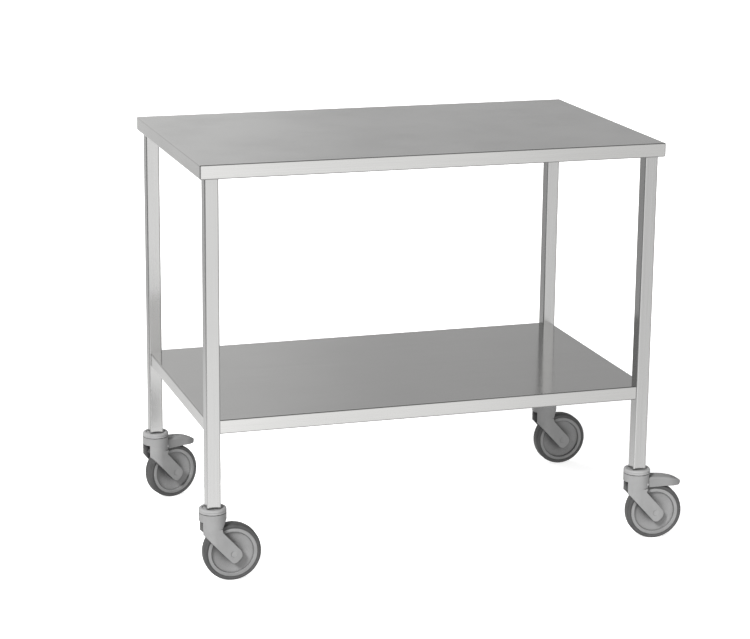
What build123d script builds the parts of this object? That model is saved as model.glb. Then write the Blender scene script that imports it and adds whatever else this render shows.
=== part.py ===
from build123d import *

import math
import os

# Stainless two-tier work table on four swivel castors.
# Millimetres. +X runs along the table's length to the right, +Y to the back, +Z up.
# The origin is on the floor under the middle of the worktop.

# ---- table ----------------------------------------------------------------
TABLE_LENGTH = 1020.0
TABLE_DEPTH = 610.0
TABLE_HEIGHT = 895.0
SHELF_HEIGHT = 354.0
SHEET = 1.5
EDGE_DROP = 30.0
EDGE_RETURN = 11.0
BEND_RADIUS = 2.8
CORNER_RADIUS = 3.2

LEG_SIZE = 30.0
LEG_WALL = 1.5
LEG_CORNER = 3.0
LEG_INSET = 12.0
SHELF_INSET = 3.0

HAT_WIDTH = 80.0
HAT_CROWN = 44.0
HAT_DEPTH = 22.0
HAT_SHEET = 1.2
TOP_HAT_LENGTH = 980.0
TOP_HAT_SPACING = 220.0
SHELF_HAT_LENGTH = 940.0

PLATE_SIZE = 70.0
PLATE_THICK = 3.0
STUD_RADIUS = 3.0
STUD_LENGTH = 13.0
NUT_ACROSS = 10.0
NUT_HEIGHT = 6.0

# ---- castor ---------------------------------------------------------------
WHEEL_RADIUS = 62.5
WHEEL_WIDTH = 30.0
TRAIL = 40.0
RIM_RADIUS = 53.6
RIM_INNER_RADIUS = 45.6
RIM_HALF_WIDTH = 14.3
WEB_OUTER_HALF_WIDTH = 9.0
WEB_INNER_HALF_WIDTH = 4.0
HUB_RADIUS = 14.0
HUB_HALF_WIDTH = 16.2
AXLE_RADIUS = 4.0
AXLE_HALF_LENGTH = 21.5
AXLE_CAP_RADIUS = 7.0
AXLE_CAP_FACE = 23.8
BUSH_RADIUS = 6.0
RUNNING_GAP = 0.05

HEAD_RADIUS = 29.5
HEAD_TOP = 152.0
HEAD_ROOF = 135.0
HEAD_FRONT_BOTTOM = 118.0
CHIN_X = -27.5
CHIN_Z = 111.0
HEAD_BACK_X = 25.5
HEAD_BACK_BOTTOM = 136.5
HEAD_BACK_RISE = 3.0
CHEEK_INNER = 16.8
CHEEK_END_OUTER = 21.5
ARM_TOP = 120.0
ARM_NECK_X = 15.5
ARM_NECK_X_BRAKED = 20.5
ARM_REAR_TOP = 112.0
ARM_FRONT_TOP = 103.5
ARM_SLOPE_DEG = 48.0
ARM_HALF_WIDTH = 16.2
ARM_END_PAST_AXLE = 20.4
ARM_END_LOWER_CORNER = 10.5
ARM_END_UPPER_CORNER = 15.0
ARM_EDGE_RADIUS = 1.8

COLLAR_BOTTOM = 153.4
COLLAR_BAND_TOP = 157.1
COLLAR_CREASE = 0.9
COLLAR_TOP = 163.2
COLLAR_FLOOR = 161.2
COLLAR_RECESS_RADIUS = 21.6
COLLAR_OUTER_ROUND = 4.2
COLLAR_INNER_ROUND = 1.8

BEARING_BOTTOM = 140.0
BEARING_TOP = 152.0
BEARING_OUTER_RADIUS = 22.0
BEARING_RACE_RADIUS = 18.0
BEARING_INNER_RADIUS = 11.0
BALL_COUNT = 10

KINGPIN_RADIUS = 6.0
KINGPIN_TOP = 216.0
KINGPIN_HEAD_ACROSS = 19.0
KINGPIN_HEAD_HEIGHT = 5.0
KINGPIN_CLEARANCE = 0.2
KINGPIN_WELL_RADIUS = 12.5
SPIGOT_SIZE = 26.6
SPIGOT_CORNER = 1.6
SPIGOT_TOP = 176.0
SLEEVE_SIZE = 26.8
SLEEVE_TOP = 206.0
EXPANDER_NUT_SIZE = 24.0
EXPANDER_NUT_CORNER = 2.0
EXPANDER_NUT_TOP = 214.0

PEDAL_PIVOT_X = 19.0
PEDAL_PIVOT_Z = 129.0
PEDAL_PIN_RADIUS = 2.5
PEDAL_PIN_LENGTH = 45.0
PEDAL_BOSS_RADIUS = 5.2
PEDAL_BOSS_HALF_WIDTH = 14.0
PEDAL_HALF_WIDTH = 17.4
PEDAL_WALL = 1.9
PEDAL_ROOT_X = 24.0
PEDAL_ROOT_TOP = 143.4
PEDAL_ROOT_BOTTOM = 121.0
PEDAL_TAPER_X = 62.0
PEDAL_TIP_X = 100.8
PEDAL_TIP_Z = 126.0
PEDAL_EDGE_ROUND = 4.0
PEDAL_HOLLOW_TOP = 130.5
PEDAL_HOLLOW_END = 82.8
PEDAL_HOLLOW_ROOT_TOP = 125.2
PEDAL_HOLLOW_ROOT_END = 28.0
PEDAL_NECK_BOTTOM = 125.6
PEDAL_NECK_TOP = 133.4
PEDAL_NECK_END = 28.0
PEDAL_GRIPS = (80.0, 84.5, 89.0)
PEDAL_GRIP_WIDTH = 1.6
PEDAL_GRIP_DEPTH = 0.9
PEDAL_GRIP_LENGTH = 22.0
PEDAL_SLOT_START = 22.6
PEDAL_SLOT_TOP = 149.0
PEDAL_SLOT_GAP = 0.6
SHOE_GAP = 2.1
SHOE_THICK = 9.0
SHOE_START_DEG = 114.0
SHOE_END_DEG = 138.0
SHOE_HALF_WIDTH = 14.0
SPRING_LEAF = 0.8
SPRING_HALF_WIDTH = 6.0

# Direction in which each castor trails, in degrees from +X, and whether it has a brake.
CASTORS = {
    "front_left": {"side": -1, "end": -1, "yaw": -1.25, "brake": False},
    "front_right": {"side": 1, "end": -1, "yaw": -6.7, "brake": True},
    "back_left": {"side": -1, "end": 1, "yaw": 17.0, "brake": True},
    "back_right": {"side": 1, "end": 1, "yaw": -0.5, "brake": False},
}

# ---- worked out from the above ---------------------------------------------
HALF_LENGTH = TABLE_LENGTH / 2
HALF_DEPTH = TABLE_DEPTH / 2
LEG_X = HALF_LENGTH - LEG_INSET - LEG_SIZE / 2
LEG_Y = HALF_DEPTH - LEG_INSET - LEG_SIZE / 2
LEG_TOP = TABLE_HEIGHT - SHEET - PLATE_THICK
SHELF_X = LEG_X + LEG_SIZE / 2 - SHELF_INSET
SHELF_Y = LEG_Y + LEG_SIZE / 2 - SHELF_INSET
NOTCH_X = LEG_X - LEG_SIZE / 2
NOTCH_Y = LEG_Y - LEG_SIZE / 2
BALL_PITCH = (BEARING_RACE_RADIUS + BEARING_INNER_RADIUS) / 2
BALL_RADIUS = (BEARING_RACE_RADIUS - BEARING_INNER_RADIUS) / 2 - RUNNING_GAP


def box_between(low, high):
    """A box given by its lowest and highest corners."""
    size = [b - a for a, b in zip(low, high)]
    return Pos(*low) * Box(*size, align=(Align.MIN, Align.MIN, Align.MIN))


def slab(half_x, half_y, bottom, top):
    """A box centred on the table's vertical axis."""
    return box_between((-half_x, -half_y, bottom), (half_x, half_y, top))


def ring(outer, inner, bottom, top):
    """A tube about the vertical axis."""
    tube = Cylinder(outer, top - bottom) - Cylinder(inner, top - bottom + 2)
    return Pos(0, 0, (top + bottom) / 2) * tube


def rod(radius, bottom, top):
    """A rod about the vertical axis."""
    return Pos(0, 0, (top + bottom) / 2) * Cylinder(radius, top - bottom)


def group(pieces):
    """Separate solids that share one node."""
    return Compound(children=pieces)


def side_extrude(profile, half_width):
    """A castor side profile, drawn in X and Z, thickened evenly both ways across the wheel."""
    return extrude(Plane.XZ * profile, amount=half_width, both=True)


def spun(profile_points):
    """A closed outline of (radius, height) points turned about the vertical axis."""
    outline = make_face(Plane.XZ * Polyline(*profile_points, close=True))
    return revolve(outline, Axis.Z)


# ---- table pieces ------------------------------------------------------------
def make_worktop():
    """A tray turned upside down: its edges are folded down and then in, with welded corners."""
    bottom = TABLE_HEIGHT - EDGE_DROP
    skin = slab(HALF_LENGTH, HALF_DEPTH, bottom, TABLE_HEIGHT)
    skin = fillet(skin.edges().filter_by(Axis.Z), CORNER_RADIUS)
    skin = fillet(bends_of(skin), BEND_RADIUS)
    hollow = slab(HALF_LENGTH - SHEET, HALF_DEPTH - SHEET, bottom + SHEET, TABLE_HEIGHT - SHEET)
    hollow = fillet(bends_of(hollow), BEND_RADIUS - SHEET)
    mouth = slab(HALF_LENGTH - EDGE_RETURN, HALF_DEPTH - EDGE_RETURN, bottom - 1, bottom + SHEET + 1)
    return skin - hollow - mouth


def bends_of(block):
    """The edges of a block's top and bottom faces, where its sheet is folded."""
    faces = block.faces().sort_by(Axis.Z)
    return faces[0].edges() + faces[-1].edges()


def cross_block(reach_x, reach_y, notch_x, notch_y, bottom, top):
    """A plus-shaped block: a long bar and a wide bar that leave the four leg corners free."""
    return slab(notch_x, reach_y, bottom, top) + slab(reach_x, notch_y, bottom, top)


def make_shelf():
    """A tray like the worktop, notched at its corners to fit between the legs."""
    bottom = SHELF_HEIGHT - EDGE_DROP
    skin = cross_block(SHELF_X, SHELF_Y, NOTCH_X, NOTCH_Y, bottom, SHELF_HEIGHT)
    skin = fillet(bends_of(skin).filter_by(on_shelf_edge), BEND_RADIUS)
    past = 1.0
    hollow = cross_block(SHELF_X - SHEET, SHELF_Y - SHEET, NOTCH_X + past, NOTCH_Y + past,
                         bottom + SHEET, SHELF_HEIGHT - SHEET)
    mouth = cross_block(SHELF_X - EDGE_RETURN, SHELF_Y - EDGE_RETURN, NOTCH_X + past, NOTCH_Y + past,
                        bottom - past, bottom + SHEET + past)
    return skin - hollow - mouth


def on_shelf_edge(edge):
    """Whether an edge of the shelf is a bend and not a side of a leg notch."""
    middle = edge.center()
    return abs(abs(middle.X) - SHELF_X) < 0.1 or abs(abs(middle.Y) - SHELF_Y) < 0.1


def make_hat(length, top, y):
    """A hat-section stiffener along X, its flanges against the underside of a sheet."""
    half_width = HAT_WIDTH / 2
    half_crown = HAT_CROWN / 2
    bottom = top - HAT_DEPTH
    outline = Polyline(
        (-half_width, top), (half_width, top), (half_width, top - HAT_SHEET),
        (half_crown, top - HAT_SHEET), (half_crown, bottom), (-half_crown, bottom),
        (-half_crown, top - HAT_SHEET), (-half_width, top - HAT_SHEET), close=True)
    body = extrude(Plane.YZ * make_face(outline), amount=length / 2, both=True)
    channel = slab(length / 2 + 1, half_crown - HAT_SHEET, bottom + HAT_SHEET, top + 1)
    return Pos(0, y, 0) * (body - channel)


def make_worktop_stiffeners():
    top = TABLE_HEIGHT - SHEET
    return group([make_hat(TOP_HAT_LENGTH, top, side * TOP_HAT_SPACING / 2) for side in (-1, 1)])


def make_leg():
    outer = RectangleRounded(LEG_SIZE, LEG_SIZE, LEG_CORNER)
    inner = RectangleRounded(LEG_SIZE - 2 * LEG_WALL, LEG_SIZE - 2 * LEG_WALL, LEG_CORNER - LEG_WALL)
    return Pos(0, 0, COLLAR_FLOOR) * extrude(outer - inner, amount=LEG_TOP - COLLAR_FLOOR)


def stud_places(side, end):
    """The three studs over one leg, on the two free edges and the free corner of its plate."""
    reach = PLATE_SIZE - LEG_SIZE / 2 - 12.0
    near = (side * (LEG_X - reach), end * LEG_Y)
    deep = (side * LEG_X, end * (LEG_Y - reach))
    corner = (side * (LEG_X - reach), end * (LEG_Y - reach))
    return [near, deep, corner]


def make_leg_plate(side, end):
    """A square plate welded on a leg's top, reaching inwards under the worktop."""
    offset = (PLATE_SIZE - LEG_SIZE) / 2
    plate = extrude(RectangleRounded(PLATE_SIZE, PLATE_SIZE, 4), amount=PLATE_THICK)
    plate = Pos(side * (LEG_X - offset), end * (LEG_Y - offset), LEG_TOP) * plate
    for x, y in stud_places(side, end):
        plate -= Pos(x, y, LEG_TOP) * Cylinder(STUD_RADIUS + 0.4, 4 * PLATE_THICK)
    return plate


def make_stud(x, y):
    top = TABLE_HEIGHT - SHEET
    return Pos(x, y, 0) * rod(STUD_RADIUS, top - STUD_LENGTH, top)


def make_nut(x, y):
    bottom = LEG_TOP - NUT_HEIGHT
    body = hexagon(NUT_ACROSS, NUT_HEIGHT, bottom) - rod(STUD_RADIUS, bottom - 1, LEG_TOP + 1)
    return Pos(x, y, 0) * body


def make_shelf_weld(side, end, along_x):
    """A fillet bead in the corner between a shelf edge's end and the leg's inner face."""
    bead = 1.6
    length = EDGE_DROP - 2 * BEND_RADIUS
    bottom = SHELF_HEIGHT - EDGE_DROP + BEND_RADIUS
    if along_x:
        x, y = side * NOTCH_X, end * (SHELF_Y - SHEET)
    else:
        x, y = side * (SHELF_X - SHEET), end * NOTCH_Y
    inwards_x = x - side * bead
    inwards_y = y - end * bead
    quarter = box_between((min(x, inwards_x), min(y, inwards_y), bottom),
                          (max(x, inwards_x), max(y, inwards_y), bottom + length))
    return (Pos(x, y, bottom + length / 2) * Cylinder(bead, length)) & quarter


# ---- castor pieces, with the kingpin on the vertical axis and the wheel towards +X --------
def rounded_square(size, corner, bottom, top):
    """A square bar with rounded corners about the vertical axis."""
    return Pos(0, 0, bottom) * extrude(RectangleRounded(size, size, corner), amount=top - bottom)


def collar_section():
    """Half of the collar's section: a band under a fat rounded rim, and a shallow recess inside."""
    crest_out = HEAD_RADIUS - COLLAR_OUTER_ROUND
    crest_in = COLLAR_RECESS_RADIUS + COLLAR_INNER_ROUND
    shoulder = COLLAR_TOP - COLLAR_OUTER_ROUND
    lip = COLLAR_TOP - COLLAR_INNER_ROUND
    bottom = Polyline((0, COLLAR_FLOOR), (0, COLLAR_BOTTOM), (HEAD_RADIUS, COLLAR_BOTTOM),
                      (HEAD_RADIUS, COLLAR_BAND_TOP - COLLAR_CREASE),
                      (HEAD_RADIUS - COLLAR_CREASE, COLLAR_BAND_TOP),
                      (HEAD_RADIUS, COLLAR_BAND_TOP + COLLAR_CREASE), (HEAD_RADIUS, shoulder))
    outer = RadiusArc((HEAD_RADIUS, shoulder), (crest_out, COLLAR_TOP), -COLLAR_OUTER_ROUND)
    crest = Line((crest_out, COLLAR_TOP), (crest_in, COLLAR_TOP))
    inner = RadiusArc((crest_in, COLLAR_TOP), (COLLAR_RECESS_RADIUS, lip), -COLLAR_INNER_ROUND)
    floor = Polyline((COLLAR_RECESS_RADIUS, lip), (COLLAR_RECESS_RADIUS, COLLAR_FLOOR), (0, COLLAR_FLOOR))
    return make_face(bottom + outer + crest + inner + floor)


def make_collar():
    """The castor's fixed top: a rimmed disc, a boss on the bearing and a square spigot in the leg."""
    disc = revolve(Plane.XZ * collar_section(), Axis.Z)
    boss = rod(BEARING_INNER_RADIUS - 1, BEARING_TOP, COLLAR_BOTTOM)
    spigot = rounded_square(SPIGOT_SIZE, SPIGOT_CORNER, COLLAR_BOTTOM, SPIGOT_TOP)
    return disc + boss + spigot - rod(KINGPIN_RADIUS + KINGPIN_CLEARANCE, BEARING_TOP - 1, SPIGOT_TOP + 1)


def make_expander_sleeve():
    sleeve = rounded_square(SLEEVE_SIZE, SPIGOT_CORNER, SPIGOT_TOP, SLEEVE_TOP)
    return sleeve - rod(KINGPIN_RADIUS + KINGPIN_CLEARANCE, SPIGOT_TOP - 1, SLEEVE_TOP + 1)


def make_expander_nut():
    nut = rounded_square(EXPANDER_NUT_SIZE, EXPANDER_NUT_CORNER, SLEEVE_TOP, EXPANDER_NUT_TOP)
    return nut - rod(KINGPIN_RADIUS, SLEEVE_TOP - 1, EXPANDER_NUT_TOP + 1)


def hexagon(across, height, bottom):
    """A hexagonal prism about the vertical axis, with its size across the flats."""
    return Pos(0, 0, bottom) * extrude(RegularPolygon(across / 2, 6, major_radius=False), amount=height)


def make_kingpin():
    shank = rod(KINGPIN_RADIUS, BEARING_BOTTOM, KINGPIN_TOP)
    shank = chamfer(shank.edges().sort_by(Axis.Z)[-1], 1)
    return shank + hexagon(KINGPIN_HEAD_ACROSS, KINGPIN_HEAD_HEIGHT, BEARING_BOTTOM - KINGPIN_HEAD_HEIGHT)


def make_bearing_inner():
    return ring(BEARING_INNER_RADIUS, KINGPIN_RADIUS, BEARING_BOTTOM, BEARING_TOP)


def make_bearing_outer():
    """The outer race with its balls, which roll round on the inner ring."""
    race = ring(BEARING_OUTER_RADIUS, BEARING_RACE_RADIUS, BEARING_BOTTOM, BEARING_TOP)
    middle = (BEARING_BOTTOM + BEARING_TOP) / 2
    balls = []
    for i in range(BALL_COUNT):
        turn = 360.0 * i / BALL_COUNT
        balls.append(Rot(0, 0, turn) * Pos(BALL_PITCH, 0, middle) * Sphere(BALL_RADIUS))
    return group([race] + balls)


def fork_side(has_brake):
    """The fork seen from the side: a head over two arms that slope back to the axle."""
    slope = math.radians(-ARM_SLOPE_DEG)
    along = Vector(math.cos(slope), math.sin(slope))
    across = Vector(-along.Y, along.X) * ARM_HALF_WIDTH
    end = Vector(TRAIL, WHEEL_RADIUS) + along * ARM_END_PAST_AXLE
    lower = end - across
    upper = end + across
    rear = upper + along * ((ARM_REAR_TOP - upper.Y) / along.Y)
    front = lower + along * ((ARM_FRONT_TOP - lower.Y) / along.Y)
    past = HEAD_RADIUS + 2
    neck = ARM_NECK_X_BRAKED if has_brake else ARM_NECK_X
    outline = Polyline((lower.X, lower.Y), (upper.X, upper.Y), (rear.X, rear.Y), (neck, ARM_TOP),
                       (HEAD_BACK_X, HEAD_BACK_BOTTOM), (past, HEAD_BACK_BOTTOM + HEAD_BACK_RISE),
                       (past, HEAD_TOP), (-past, HEAD_TOP), (-past, HEAD_FRONT_BOTTOM), (CHIN_X, CHIN_Z),
                       (front.X, front.Y), close=True)
    side = make_face(outline)
    side = fillet(side.vertices().sort_by_distance(lower)[0], ARM_END_LOWER_CORNER)
    return fillet(side.vertices().sort_by_distance(upper)[0], ARM_END_UPPER_CORNER)


def arm_plan():
    """The arms seen from above: cheeks that draw in evenly from the round head to the arms' ends."""
    reach = TRAIL + ARM_END_PAST_AXLE + 2
    arm_ends = Line((reach, -CHEEK_END_OUTER), (reach, CHEEK_END_OUTER))
    return make_hull(Circle(HEAD_RADIUS).edges() + arm_ends.edges())


def soften_arms(arms):
    """Round the moulded arms' outer edges."""
    near_cheek = CHEEK_INNER - 1
    outer = arms.edges().filter_by(lambda e: abs(e.center().Y) > near_cheek and e.center().Z < ARM_TOP - 1)
    return fillet(outer, ARM_EDGE_RADIUS)


def across_castor(x, z, radius, length):
    """A round bar across the castor, centred on its middle plane."""
    return Pos(x, 0, z) * Rot(90, 0, 0) * Cylinder(radius, length)


def make_fork(has_brake):
    side = side_extrude(fork_side(has_brake), HEAD_RADIUS + 2)
    head = side & rod(HEAD_RADIUS, ARM_TOP, HEAD_TOP)
    arms = side & extrude(arm_plan(), amount=ARM_TOP)
    solid = head + soften_arms(arms)
    far = TRAIL + HEAD_RADIUS
    solid -= box_between((-far, -CHEEK_INNER, 0), (far, CHEEK_INNER, HEAD_ROOF))
    solid -= rod(BEARING_OUTER_RADIUS, BEARING_BOTTOM, HEAD_TOP + 1)
    solid -= rod(KINGPIN_WELL_RADIUS, HEAD_ROOF - 1, BEARING_BOTTOM + 1)
    solid -= across_castor(TRAIL, WHEEL_RADIUS, AXLE_RADIUS, 2 * HEAD_RADIUS)
    for cheek in (-1, 1):
        recess = across_castor(TRAIL, WHEEL_RADIUS, AXLE_CAP_RADIUS, HEAD_RADIUS)
        solid -= Pos(0, cheek * (AXLE_HALF_LENGTH + HEAD_RADIUS / 2), 0) * recess
    if has_brake:
        half = PEDAL_HALF_WIDTH + PEDAL_SLOT_GAP
        solid -= box_between((PEDAL_SLOT_START, -half, ARM_TOP), (far, half, PEDAL_SLOT_TOP))
        solid -= across_castor(PEDAL_PIVOT_X, PEDAL_PIVOT_Z, PEDAL_PIN_RADIUS, PEDAL_PIN_LENGTH)
    return solid


def make_axle():
    return across_castor(TRAIL, WHEEL_RADIUS, AXLE_RADIUS, 2 * AXLE_HALF_LENGTH)


def make_axle_caps():
    """Plugs that cover the axle's ends, about flush with the arms."""
    middle = (AXLE_HALF_LENGTH + AXLE_CAP_FACE) / 2
    cap = across_castor(TRAIL, WHEEL_RADIUS, AXLE_CAP_RADIUS, AXLE_CAP_FACE - AXLE_HALF_LENGTH)
    return group([Pos(0, cheek * middle, 0) * cap for cheek in (-1, 1)])


def wheel_turned(profile_points):
    """A wheel piece from its (radius, half width) outline, turned about the axle."""
    upright = spun(profile_points)
    return Pos(TRAIL, 0, WHEEL_RADIUS) * Rot(90, 0, 0) * upright


def mirrored_outline(points):
    """An outline from its upper half, given from the inside out, and the mirrored lower half."""
    return points + [(r, -w) for r, w in reversed(points)]


def make_wheel_core():
    """A flat rim ring round a web that is dished down to the hub on both faces."""
    draft = 1.0
    points = [
        (BUSH_RADIUS, HUB_HALF_WIDTH),
        (HUB_RADIUS - draft, HUB_HALF_WIDTH),
        (HUB_RADIUS, HUB_HALF_WIDTH - draft),
        (HUB_RADIUS + 2 * draft, WEB_INNER_HALF_WIDTH),
        (HUB_RADIUS + 6 * draft, WEB_INNER_HALF_WIDTH),
        (RIM_INNER_RADIUS - draft, WEB_OUTER_HALF_WIDTH),
        (RIM_INNER_RADIUS, RIM_HALF_WIDTH - draft),
        (RIM_INNER_RADIUS + draft, RIM_HALF_WIDTH),
        (RIM_RADIUS - draft, RIM_HALF_WIDTH),
        (RIM_RADIUS, RIM_HALF_WIDTH - draft),
    ]
    return wheel_turned(mirrored_outline(points))


def make_tyre():
    half = WHEEL_WIDTH / 2
    points = [
        (RIM_RADIUS, RIM_HALF_WIDTH - 1),
        (RIM_RADIUS + 0.6, RIM_HALF_WIDTH),
        (WHEEL_RADIUS - 5.0, half),
        (WHEEL_RADIUS - 2.4, half - 1.0),
        (WHEEL_RADIUS - 0.8, half - 3.6),
        (WHEEL_RADIUS, half - 8.0),
    ]
    return wheel_turned(mirrored_outline(points))


def make_wheel_bush():
    inner = AXLE_RADIUS + RUNNING_GAP
    half = HUB_HALF_WIDTH + 0.3
    return wheel_turned(mirrored_outline([(inner, half), (BUSH_RADIUS, half)]))


def pedal_top():
    """The line of the pedal's top in side view, from its root to the end of its flat."""
    return Spline((PEDAL_ROOT_X, PEDAL_ROOT_TOP), (46.0, PEDAL_ROOT_TOP + 0.6), (70.0, 141.0),
                  (86.0, 136.6), (PEDAL_TIP_X - 3.0, PEDAL_TIP_Z + 5.2))


def pedal_side():
    """The pedal seen from the side: a long tongue that curves down to a rounded tip."""
    top = pedal_top()
    under_tip = (PEDAL_TIP_X - 3.0, PEDAL_TIP_Z - 4.4)
    tip = ThreePointArc(top @ 1, (PEDAL_TIP_X, PEDAL_TIP_Z), under_tip)
    under = Polyline(under_tip, (PEDAL_TAPER_X, PEDAL_TIP_Z - 3.6), (PEDAL_ROOT_X, PEDAL_ROOT_BOTTOM),
                     (PEDAL_ROOT_X, PEDAL_ROOT_TOP))
    return make_face(top + tip + under)


def pedal_plan():
    """The pedal seen from above: parallel sides that draw in to a round end."""
    half = PEDAL_HALF_WIDTH
    start = PEDAL_ROOT_X - 1
    drawn_in = (85.0, half - 1.6)
    sides = Polyline((PEDAL_TAPER_X, half), (start, half), (start, -half), (PEDAL_TAPER_X, -half))
    end = Spline((PEDAL_TAPER_X, -half), (drawn_in[0], -drawn_in[1]), (PEDAL_TIP_X, 0), drawn_in,
                 (PEDAL_TAPER_X, half), tangents=((1, 0), (-1, 0)))
    return make_face(sides + end)


def make_brake_pedal():
    tongue = side_extrude(pedal_side(), PEDAL_HALF_WIDTH + 2)
    tongue = tongue & extrude(pedal_plan(), amount=2 * PEDAL_ROOT_TOP)
    tongue = fillet(tongue.edges().filter_by(is_pedal_rim), PEDAL_EDGE_ROUND)
    inner = PEDAL_HALF_WIDTH - PEDAL_WALL
    tongue -= box_between((PEDAL_ROOT_X - 2, -inner, 0), (PEDAL_HOLLOW_ROOT_END, inner, PEDAL_HOLLOW_ROOT_TOP))
    tongue -= box_between((PEDAL_HOLLOW_ROOT_END - 1, -inner, 0), (PEDAL_HOLLOW_END, inner, PEDAL_HOLLOW_TOP))
    boss = across_castor(PEDAL_PIVOT_X, PEDAL_PIVOT_Z, PEDAL_BOSS_RADIUS, 2 * PEDAL_BOSS_HALF_WIDTH)
    neck = box_between((PEDAL_PIVOT_X, -PEDAL_BOSS_HALF_WIDTH, PEDAL_NECK_BOTTOM),
                       (PEDAL_NECK_END, PEDAL_BOSS_HALF_WIDTH, PEDAL_NECK_TOP))
    pedal = tongue + boss + neck
    for x in PEDAL_GRIPS:
        pedal -= grip_groove(x)
    bore = across_castor(PEDAL_PIVOT_X, PEDAL_PIVOT_Z, PEDAL_PIN_RADIUS + RUNNING_GAP, 2 * PEDAL_PIN_LENGTH)
    return pedal - bore


def is_pedal_rim(edge):
    """Whether an edge runs along the top of one of the pedal's sides."""
    middle = edge.center()
    side_on = abs(middle.Y) > PEDAL_HALF_WIDTH / 2
    return side_on and middle.Z > PEDAL_TIP_Z + 3 and edge.length > 2 * PEDAL_HALF_WIDTH


def grip_groove(x):
    """A shallow groove across the pedal's top at the given distance from the kingpin."""
    upright = Edge.make_line((x, 0), (x, 2 * PEDAL_ROOT_TOP))
    top = pedal_top().intersect(upright)[0]
    return Pos(x, 0, top.Y) * Box(PEDAL_GRIP_WIDTH, PEDAL_GRIP_LENGTH, 2 * PEDAL_GRIP_DEPTH)


def make_pedal_pin():
    return across_castor(PEDAL_PIVOT_X, PEDAL_PIVOT_Z, PEDAL_PIN_RADIUS, PEDAL_PIN_LENGTH)


def make_brake_shoe():
    inner = WHEEL_RADIUS + SHOE_GAP
    outer = inner + SHOE_THICK
    band = Circle(outer) - Circle(inner)
    far = 2 * outer
    start = math.radians(SHOE_START_DEG)
    end = math.radians(SHOE_END_DEG)
    wedge = make_face(Polyline((0, 0), (far * math.cos(start), far * math.sin(start)),
                               (far * math.cos(end), far * math.sin(end)), close=True))
    return side_extrude(Pos(TRAIL, WHEEL_RADIUS) * (band & wedge), SHOE_HALF_WIDTH)


def make_brake_spring():
    """A leaf under the head's roof that bears on the back of the shoe."""
    roof = HEAD_ROOF
    underside = roof - SPRING_LEAF
    outline = Polyline((-26.0, roof), (-14.0, roof), (-6.7, 120.2), (-7.5, 119.85),
                       (-14.6, underside), (-26.0, underside), close=True)
    return side_extrude(make_face(outline), SPRING_HALF_WIDTH)


# ---- assembly ------------------------------------------------------------------
def leg_place(name):
    castor = CASTORS[name]
    return Pos(castor["side"] * LEG_X, castor["end"] * LEG_Y, 0)


def castor_place(name):
    return leg_place(name) * Rot(0, 0, CASTORS[name]["yaw"])


def make_table_nodes():
    corners = [(c["side"], c["end"]) for c in CASTORS.values()]
    studs = [place for side, end in corners for place in stud_places(side, end)]
    nodes = {
        "worktop": make_worktop(),
        "worktop_stiffeners": make_worktop_stiffeners(),
        "shelf": make_shelf(),
        "shelf_stiffener": make_hat(SHELF_HAT_LENGTH, SHELF_HEIGHT - SHEET, 0),
        "leg_top_plates": group([make_leg_plate(side, end) for side, end in corners]),
        "worktop_studs": group([make_stud(x, y) for x, y in studs]),
        "worktop_nuts": group([make_nut(x, y) for x, y in studs]),
        "shelf_welds": group([make_shelf_weld(side, end, along)
                              for side, end in corners for along in (True, False)]),
    }
    for name in CASTORS:
        nodes["leg_" + name] = leg_place(name) * make_leg()
    return nodes


def make_fixed_castor_nodes():
    nodes = {
        "castor_kingpins": group([castor_place(n) * make_kingpin() for n in CASTORS]),
        "expander_sleeves": group([leg_place(n) * make_expander_sleeve() for n in CASTORS]),
        "expander_nuts": group([leg_place(n) * make_expander_nut() for n in CASTORS]),
        "swivel_inner_rings": group([leg_place(n) * make_bearing_inner() for n in CASTORS]),
    }
    for name in CASTORS:
        nodes[name + "_castor_collar"] = leg_place(name) * make_collar()
    return nodes


def make_moving_castor_nodes():
    nodes = {}
    for name, castor in CASTORS.items():
        place = castor_place(name)
        nodes[name + "_fork"] = place * make_fork(castor["brake"])
        nodes[name + "_swivel_bearing"] = place * make_bearing_outer()
        nodes[name + "_axle"] = place * make_axle()
        nodes[name + "_axle_caps"] = place * make_axle_caps()
        nodes[name + "_wheel_core"] = place * make_wheel_core()
        nodes[name + "_tyre"] = place * make_tyre()
        nodes[name + "_wheel_bush"] = place * make_wheel_bush()
        if castor["brake"]:
            nodes[name + "_brake_pedal"] = place * make_brake_pedal()
            nodes[name + "_pedal_pin"] = place * make_pedal_pin()
            nodes[name + "_brake_shoe"] = place * make_brake_shoe()
            nodes[name + "_brake_spring"] = place * make_brake_spring()
    return nodes


def main():
    os.makedirs("parts", exist_ok=True)
    nodes = {}
    nodes.update(make_table_nodes())
    nodes.update(make_fixed_castor_nodes())
    nodes.update(make_moving_castor_nodes())
    for name, piece in nodes.items():
        export_step(piece, "parts/" + name + ".step")


main()
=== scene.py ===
import math

import bmesh
import bpy
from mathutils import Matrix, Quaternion, Vector

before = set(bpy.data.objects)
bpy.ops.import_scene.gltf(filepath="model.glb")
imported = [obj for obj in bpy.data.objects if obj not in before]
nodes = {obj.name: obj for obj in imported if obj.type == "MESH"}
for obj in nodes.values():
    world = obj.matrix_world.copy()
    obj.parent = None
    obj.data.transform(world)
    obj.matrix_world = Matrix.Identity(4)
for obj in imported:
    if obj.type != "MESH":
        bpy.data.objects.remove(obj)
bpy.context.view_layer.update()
scene = bpy.context.scene

CASTORS = ("front_left", "front_right", "back_left", "back_right")
BRAKED = ("front_right", "back_left")


# ---- camera -----------------------------------------------------------------------
CAMERA_PLACE = (-1.5753, -4.8074, 1.7726)
CAMERA_AZIMUTH = math.radians(-17.70)
CAMERA_ELEVATION = math.radians(14.49)
CAMERA_ROLL = math.radians(0.56)
CAMERA_LENS = 112.3


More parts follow.
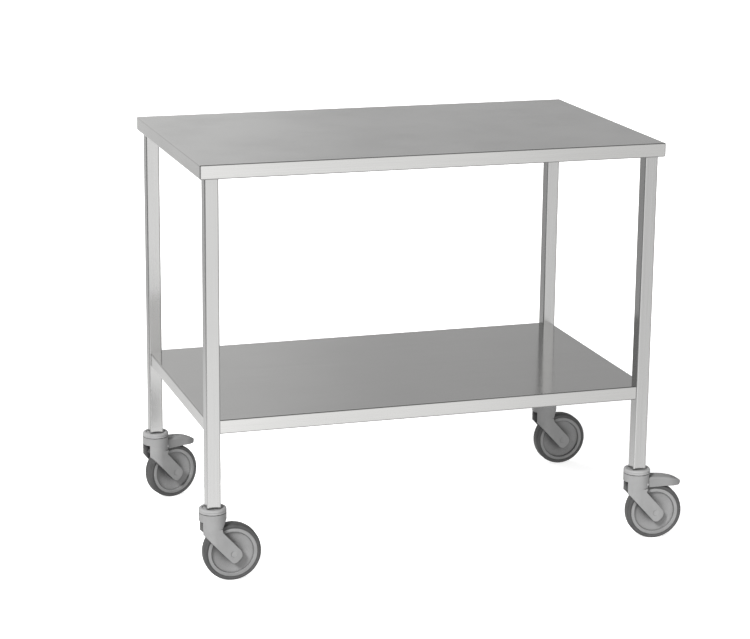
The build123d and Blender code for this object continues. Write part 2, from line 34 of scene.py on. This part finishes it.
def direction(azimuth, elevation):
    """The way from the table to a viewer or a light, with an azimuth of 0 straight in front."""
    flat = math.cos(elevation)
    return Vector((math.sin(azimuth) * flat, -math.cos(azimuth) * flat, math.sin(elevation)))


def make_camera():
    data = bpy.data.cameras.new("camera")
    data.lens = CAMERA_LENS
    data.sensor_width = 36.0
    data.clip_start = 0.1
    data.clip_end = 200.0
    camera = bpy.data.objects.new("camera", data)
    scene.collection.objects.link(camera)
    camera.location = CAMERA_PLACE
    camera.rotation_mode = "QUATERNION"
    facing = -direction(CAMERA_AZIMUTH, CAMERA_ELEVATION)
    camera.rotation_quaternion = facing.to_track_quat("-Z", "Y") @ Quaternion((0, 0, 1), CAMERA_ROLL)
    scene.camera = camera


# ---- node helpers -------------------------------------------------------------------
# How far a normal turns from its bevelled one, as a cosine, where an edge starts and is at its fullest.
EDGE_STARTS = 0.995
EDGE_FULL = 0.80


class Nodes:
    """A short way to write a node tree: most calls add a node and return its output."""

    def __init__(self, tree):
        self.tree = tree
        self.tree.nodes.clear()

    def add(self, kind):
        return self.tree.nodes.new(kind)

    def link(self, source, target):
        self.tree.links.new(source, target)

    def math(self, operation, a, b):
        node = self.tree.nodes.new("ShaderNodeMath")
        node.operation = operation
        for socket, value in zip(node.inputs, (a, b)):
            self.feed(socket, value)
        return node.outputs[0]

    def feed(self, socket, value):
        """Link a socket to another one, or set it to a constant."""
        if isinstance(value, bpy.types.NodeSocket):
            self.link(value, socket)
        else:
            socket.default_value = value

    def place(self, scale=(1, 1, 1)):
        """Where a point is on its piece at rest, stretched."""
        coords = self.tree.nodes.new("ShaderNodeTexCoord")
        mapping = self.tree.nodes.new("ShaderNodeMapping")
        mapping.inputs["Scale"].default_value = scale
        self.link(coords.outputs["Object"], mapping.inputs["Vector"])
        return mapping.outputs["Vector"]

    def noise(self, vector, scale, detail=3.0, roughness=0.5):
        node = self.tree.nodes.new("ShaderNodeTexNoise")
        node.inputs["Scale"].default_value = scale
        node.inputs["Detail"].default_value = detail
        node.inputs["Roughness"].default_value = roughness
        self.link(vector, node.inputs["Vector"])
        return node.outputs["Fac"]

    def remap(self, value, from_low, from_high, to_low, to_high):
        node = self.tree.nodes.new("ShaderNodeMapRange")
        self.link(value, node.inputs["Value"])
        node.inputs["From Min"].default_value = from_low
        node.inputs["From Max"].default_value = from_high
        node.inputs["To Min"].default_value = to_low
        node.inputs["To Max"].default_value = to_high
        return node.outputs["Result"]

    def ramp(self, value, stops):
        """A smooth curve through (value, result) pairs."""
        low = stops[0][0]
        high = stops[-1][0]
        node = self.tree.nodes.new("ShaderNodeValToRGB")
        node.color_ramp.interpolation = "EASE"
        self.link(self.remap(value, low, high, 0.0, 1.0), node.inputs["Fac"])
        points = node.color_ramp.elements
        while len(points) < len(stops):
            points.new(0.5)
        for point, (place, result) in zip(points, stops):
            point.position = (place - low) / (high - low)
            point.color = grey(result)
        return node.outputs["Color"]

    def mix_colour(self, factor, a, b, blend="MIX"):
        node = self.tree.nodes.new("ShaderNodeMix")
        node.data_type = "RGBA"
        node.blend_type = blend
        self.feed(node.inputs[0], factor)
        self.feed(node.inputs[6], a)
        self.feed(node.inputs[7], b)
        return node.outputs[2]

    def edge_mask(self, radius):
        """1 on an outer edge within the given distance, 0 on flat stretches."""
        bevel = self.tree.nodes.new("ShaderNodeBevel")
        bevel.samples = 4
        bevel.inputs["Radius"].default_value = radius
        geometry = self.tree.nodes.new("ShaderNodeNewGeometry")
        dot = self.tree.nodes.new("ShaderNodeVectorMath")
        dot.operation = "DOT_PRODUCT"
        self.link(bevel.outputs["Normal"], dot.inputs[0])
        self.link(geometry.outputs["Normal"], dot.inputs[1])
        return self.remap(dot.outputs["Value"], EDGE_STARTS, EDGE_FULL, 0.0, 1.0)

    def openness(self, reach, low, high):
        """1 where a surface is open to its surroundings, 0 deep in a gap or a fold."""
        node = self.tree.nodes.new("ShaderNodeAmbientOcclusion")
        node.samples = 6
        node.inputs["Distance"].default_value = reach
        return self.remap(node.outputs["AO"], low, high, 0.0, 1.0)

    def bump(self, height, strength, distance):
        node = self.tree.nodes.new("ShaderNodeBump")
        node.inputs["Strength"].default_value = strength
        node.inputs["Distance"].default_value = distance
        self.link(height, node.inputs["Height"])
        return node.outputs["Normal"]

    def shader(self, **values):
        """The surface shader, with its constants, wired to the output."""
        node = self.tree.nodes.new("ShaderNodeBsdfPrincipled")
        for key, value in values.items():
            self.feed(node.inputs[key.replace("_", " ")], value)
        output = self.tree.nodes.new("ShaderNodeOutputMaterial")
        self.link(node.outputs[0], output.inputs["Surface"])
        return node


def new_material(name):
    material = bpy.data.materials.new(name)
    material.use_nodes = True
    return material, Nodes(material.node_tree)


def grey(value):
    return (value, value, value, 1.0)


def shaded(colour, factor):
    return tuple(factor * c for c in colour) + (1.0,)


def paint(material, *names):
    for name in names:
        data = nodes[name].data
        data.materials.clear()
        data.materials.append(material)


# ---- materials ---------------------------------------------------------------------
SHEET_COLOUR = (0.600, 0.597, 0.588)
TUBE_COLOUR = (0.545, 0.543, 0.538)
ALONG_X = 0
ALONG_Z = 2
GRAIN_ALONG = 6.0
GRAIN_ACROSS = 1100.0
BAND_ALONG = 1.5
BAND_ACROSS = 45.0
GRAIN_CONTRAST = 0.035
# The grain's line leans this much out of the sheet, so that it is never square to a lip.
SHEET_GRAIN_LEAN = 0.02
# Painted shade darkens gaps of this reach, and the inside of the fork at the larger one, in metres.
GAP_REACH = 0.022
GAP_OPENNESS = (0.22, 0.75)
FORK_REACH = 0.09
FORK_OPENNESS = (0.15, 0.70)


def brushed_steel(name, colour, along, roughness, anisotropy):
    """Satin stainless whose fine scratches run along the given axis."""
    material, n = new_material(name)
    scratch_scale = [GRAIN_ACROSS] * 3
    scratch_scale[along] = GRAIN_ALONG
    scratches = n.noise(n.place(scratch_scale), 1.0, 4.0, 0.6)
    band_scale = [BAND_ACROSS] * 3
    band_scale[along] = BAND_ALONG
    bands = n.noise(n.place(band_scale), 1.0, 2.0)
    smudges = n.noise(n.place(), 6.0, 4.0, 0.6)
    edge = n.edge_mask(0.0012)
    grain = n.math("ADD", n.math("MULTIPLY", scratches, 0.75), n.math("MULTIPLY", bands, 0.25))
    shade = n.remap(grain, 0.35, 0.65, 0.0, 1.0)
    tone = n.mix_colour(shade, shaded(colour, 1.0 - GRAIN_CONTRAST), shaded(colour, 1.0 + GRAIN_CONTRAST))
    # Painted highlight: the edges are mixed towards a pale grey.
    tone = n.mix_colour(n.math("MULTIPLY", edge, 0.3), tone, grey(0.74))
    rough = n.math("ADD", n.remap(grain, 0.3, 0.7, roughness - 0.02, roughness + 0.02),
                   n.remap(smudges, 0.4, 0.7, 0.0, 0.03))
    shader = n.shader(Base_Color=tone, Metallic=1.0, Roughness=rough, Anisotropic=anisotropy,
                      Anisotropic_Rotation=0.25)
    n.link(n.bump(scratches, 0.03, 0.0001), shader.inputs["Normal"])
    grain_line = n.add("ShaderNodeCombineXYZ")
    grain_line.inputs[along].default_value = 1.0
    if along == ALONG_X:
        grain_line.inputs[2].default_value = SHEET_GRAIN_LEAN
    n.link(grain_line.outputs[0], shader.inputs["Tangent"])
    return material


def moulded_plastic(name, value, roughness, painted_shade=0.0):
    """Fine-textured moulded plastic, mottled, with a painted highlight on its edges and painted shade in its
    gaps.
    """
    material, n = new_material(name)
    mottle = n.noise(n.place(), 40.0, 4.0)
    grain = n.noise(n.place(), 1400.0, 2.0)
    colour = n.mix_colour(n.remap(mottle, 0.35, 0.65, 0.0, 1.0), grey(value * 0.95), grey(value * 1.05))
    # Painted highlight: the edges are mixed towards a paler grey.
    colour = n.mix_colour(n.math("MULTIPLY", n.edge_mask(0.0012), 0.4), colour, grey(min(1.0, value * 1.35)))
    # Painted shade: darkened where ambient occlusion finds a gap or the inside of the fork.
    if painted_shade:
        out_of_gaps = n.openness(GAP_REACH, *GAP_OPENNESS)
        out_of_fork = n.openness(FORK_REACH, *FORK_OPENNESS)
        exposed = n.math("MULTIPLY", out_of_gaps, out_of_fork)
        colour = n.mix_colour(exposed, grey(value * (1.0 - painted_shade)), colour)
    rough = n.remap(mottle, 0.3, 0.7, roughness - 0.05, roughness + 0.06)
    shader = n.shader(Base_Color=colour, Roughness=rough)
    n.link(n.bump(grain, 0.25, 0.0002), shader.inputs["Normal"])
    return material


def tyre_rubber():
    """Dark grey rubber, faintly dusty, with a painted highlight on its edges."""
    material, n = new_material("tyre_rubber")
    dust = n.noise(n.place(), 60.0, 5.0, 0.65)
    grain = n.noise(n.place(), 1200.0, 2.0)
    edge = n.edge_mask(0.002)
    colour = n.mix_colour(n.remap(dust, 0.3, 0.7, 0.0, 1.0), grey(0.046), grey(0.070))
    # Painted highlight: the edges are mixed towards a paler grey.
    colour = n.mix_colour(n.math("MULTIPLY", edge, 0.3), colour, grey(0.11))
    rough = n.remap(dust, 0.3, 0.7, 0.42, 0.58)
    shader = n.shader(Base_Color=colour, Roughness=rough)
    n.link(n.bump(grain, 0.3, 0.0002), shader.inputs["Normal"])
    return material


def plain_metal(name, value, roughness):
    """Zinc-plated or ground steel hardware."""
    material, n = new_material(name)
    crystals = n.noise(n.place(), 250.0, 3.0)
    edge = n.edge_mask(0.0008)
    colour = n.mix_colour(n.remap(crystals, 0.35, 0.65, 0.0, 1.0), grey(value * 0.92), grey(value * 1.06))
    # Painted highlight: the edges are mixed towards a pale grey.
    colour = n.mix_colour(n.math("MULTIPLY", edge, 0.5), colour, grey(0.8))
    rough = n.remap(crystals, 0.3, 0.7, roughness - 0.06, roughness + 0.08)
    shader = n.shader(Base_Color=colour, Metallic=1.0, Roughness=rough)
    n.link(n.bump(crystals, 0.08, 0.0003), shader.inputs["Normal"])
    return material


def paint_frame():
    sheet_steel = brushed_steel("stainless_sheet", SHEET_COLOUR, ALONG_X, 0.12, 0.9)
    leg_steel = brushed_steel("stainless_tube", TUBE_COLOUR, ALONG_Z, 0.18, 0.8)
    paint(sheet_steel, "worktop", "shelf", "worktop_stiffeners", "shelf_stiffener")
    paint(leg_steel, *["leg_" + c for c in CASTORS])
    paint(plain_metal("ground_weld", 0.5, 0.3), "shelf_welds")
    zinc = plain_metal("zinc_steel", 0.55, 0.3)
    paint(zinc, "leg_top_plates", "worktop_studs", "worktop_nuts", "castor_kingpins", "expander_nuts")
    ground = plain_metal("bearing_steel", 0.6, 0.15)
    paint(ground, "swivel_inner_rings", *[c + "_swivel_bearing" for c in CASTORS])
    paint(moulded_plastic("expander_rubber", 0.05, 0.7), "expander_sleeves")
    paint(zinc, *[c + "_axle" for c in CASTORS])
    paint(zinc, *[c + part for c in BRAKED for part in ("_pedal_pin", "_brake_spring")])


def paint_castors():
    # Each castor plastic but the collar gets painted shade in its gaps and inside the fork, at the strength
    # given last.
    housing = moulded_plastic("castor_plastic", 0.245, 0.48, painted_shade=0.9)
    wheel = moulded_plastic("wheel_plastic", 0.225, 0.5, painted_shade=0.75)
    # The collar is a paler grey than the fork: painted light for the light that falls on its top.
    collar = moulded_plastic("collar_plastic", 0.285, 0.46)
    paint(housing, *[c + part for c in CASTORS for part in ("_fork", "_axle_caps")])
    paint(collar, *[c + "_castor_collar" for c in CASTORS])
    pedal = moulded_plastic("pedal_plastic", 0.205, 0.5, painted_shade=0.7)
    paint(pedal, *[c + "_brake_pedal" for c in BRAKED])
    paint(wheel, *[c + "_wheel_core" for c in CASTORS])
    paint(tyre_rubber(), *[c + "_tyre" for c in CASTORS])
    paint(moulded_plastic("bush_nylon", 0.72, 0.4), *[c + "_wheel_bush" for c in CASTORS])
    paint(moulded_plastic("shoe_plastic", 0.08, 0.5), *[c + "_brake_shoe" for c in BRAKED])


# ---- studio ------------------------------------------------------------------------
FLOOR_HALF = 30.0
FLOOR_GLOW = 0.75

# How bright the studio is in each direction, from its left (-1) to its right (1).
BEHIND_TABLE = ((-1.0, 0.48), (-0.7, 0.38), (-0.5, 0.28), (-0.404, 0.32), (-0.367, 0.42), (-0.225, 0.73),
                (-0.18, 0.79), (-0.04, 0.95), (0.1, 0.90), (0.225, 0.72), (0.307, 0.56), (0.386, 0.52),
                (0.7, 0.46), (1.0, 0.50))
IN_FRONT = ((-1.0, 0.05), (-0.75, 0.08), (-0.55, 0.55), (-0.3, 1.00), (0.0, 1.24), (0.2, 1.33),
            (0.30, 1.12), (0.40, 0.88), (0.55, 0.60), (1.0, 0.50))
# How much brighter or dimmer it is at each height, from straight down (-1) to straight up (1).
BEHIND_BY_HEIGHT = ((-1.0, 1.0), (0.17, 1.0), (0.25, 0.82), (0.30, 0.80), (0.42, 0.75), (0.75, 0.35),
                    (1.0, 0.3))
IN_FRONT_BY_HEIGHT = ((-1.0, 1.0), (0.40, 1.0), (0.72, 0.22), (1.0, 0.2))
# How much of the studio in front shows at each depth, from its front (-1) to its back (1).
FRONT_SHARE = ((-0.5, 1.0), (0.2, 0.0))
# Below these heights a reflection shows the pale floor, which is dimmer straight down, under the table.
FLOOR_SHARE = ((-0.36, 1.0), (-0.22, 0.0))
FLOOR_BEHIND = 1.10
FLOOR_IN_FRONT = ((0.2, 1.42), (0.3, 1.20), (0.42, 0.96), (0.8, 0.8))
FLOOR_BY_HEIGHT = ((-1.0, 0.30), (-0.7, 0.45), (-0.4, 1.0))

# Each sun's name, azimuth, elevation and angular size in degrees, and strength. The low one reaches the
# castors under the shelf.
SUNS = (("key", -50.0, 40.0, 14.0, 4.2), ("fill", -150.0, 25.0, 60.0, 1.6), ("low", -5.0, 6.0, 20.0, 0.9))


def make_floor():
    mesh = bpy.data.meshes.new("floor")
    shape = bmesh.new()
    bmesh.ops.create_grid(shape, x_segments=1, y_segments=1, size=FLOOR_HALF)
    shape.to_mesh(mesh)
    shape.free()
    floor = bpy.data.objects.new("floor", mesh)
    floor.visible_glossy = False
    floor.visible_diffuse = False
    scene.collection.objects.link(floor)
    material, n = new_material("pale_floor")
    n.shader(Base_Color=grey(0.8), Roughness=0.9, Emission_Color=grey(1.0), Emission_Strength=FLOOR_GLOW)
    mesh.materials.append(material)


def make_world():
    """A soft studio: a broad pale screen in front, a darker room behind and a dim ceiling."""
    world = bpy.data.worlds.new("studio")
    scene.world = world
    world.use_nodes = True
    n = Nodes(world.node_tree)
    coords = n.add("ShaderNodeTexCoord")
    split = n.add("ShaderNodeSeparateXYZ")
    n.link(coords.outputs["Generated"], split.inputs[0])
    x, y, z = split.outputs
    frontness = n.ramp(y, FRONT_SHARE)
    behind = n.mix_colour(1.0, n.ramp(x, BEHIND_TABLE), n.ramp(z, BEHIND_BY_HEIGHT), "MULTIPLY")
    in_front = n.mix_colour(1.0, n.ramp(x, IN_FRONT), n.ramp(z, IN_FRONT_BY_HEIGHT), "MULTIPLY")
    walls = n.mix_colour(frontness, behind, in_front)
    floor = n.mix_colour(frontness, grey(FLOOR_BEHIND), n.ramp(x, FLOOR_IN_FRONT))
    floor = n.mix_colour(1.0, floor, n.ramp(z, FLOOR_BY_HEIGHT), "MULTIPLY")
    level = n.mix_colour(n.ramp(z, FLOOR_SHARE), walls, floor)
    background = n.add("ShaderNodeBackground")
    n.link(level, background.inputs["Color"])
    output = n.add("ShaderNodeOutputWorld")
    n.link(background.outputs[0], output.inputs["Surface"])


def make_sun(name, azimuth, elevation, angle, strength):
    data = bpy.data.lights.new(name, "SUN")
    data.angle = math.radians(angle)
    data.energy = strength
    light = bpy.data.objects.new(name, data)
    toward = direction(math.radians(azimuth), math.radians(elevation))
    light.rotation_mode = "QUATERNION"
    light.rotation_quaternion = toward.to_track_quat("Z", "Y")
    light.visible_glossy = False
    scene.collection.objects.link(light)


make_camera()
paint_frame()
paint_castors()
make_floor()
make_world()
for sun in SUNS:
    make_sun(*sun)
scene.view_settings.view_transform = "Standard"
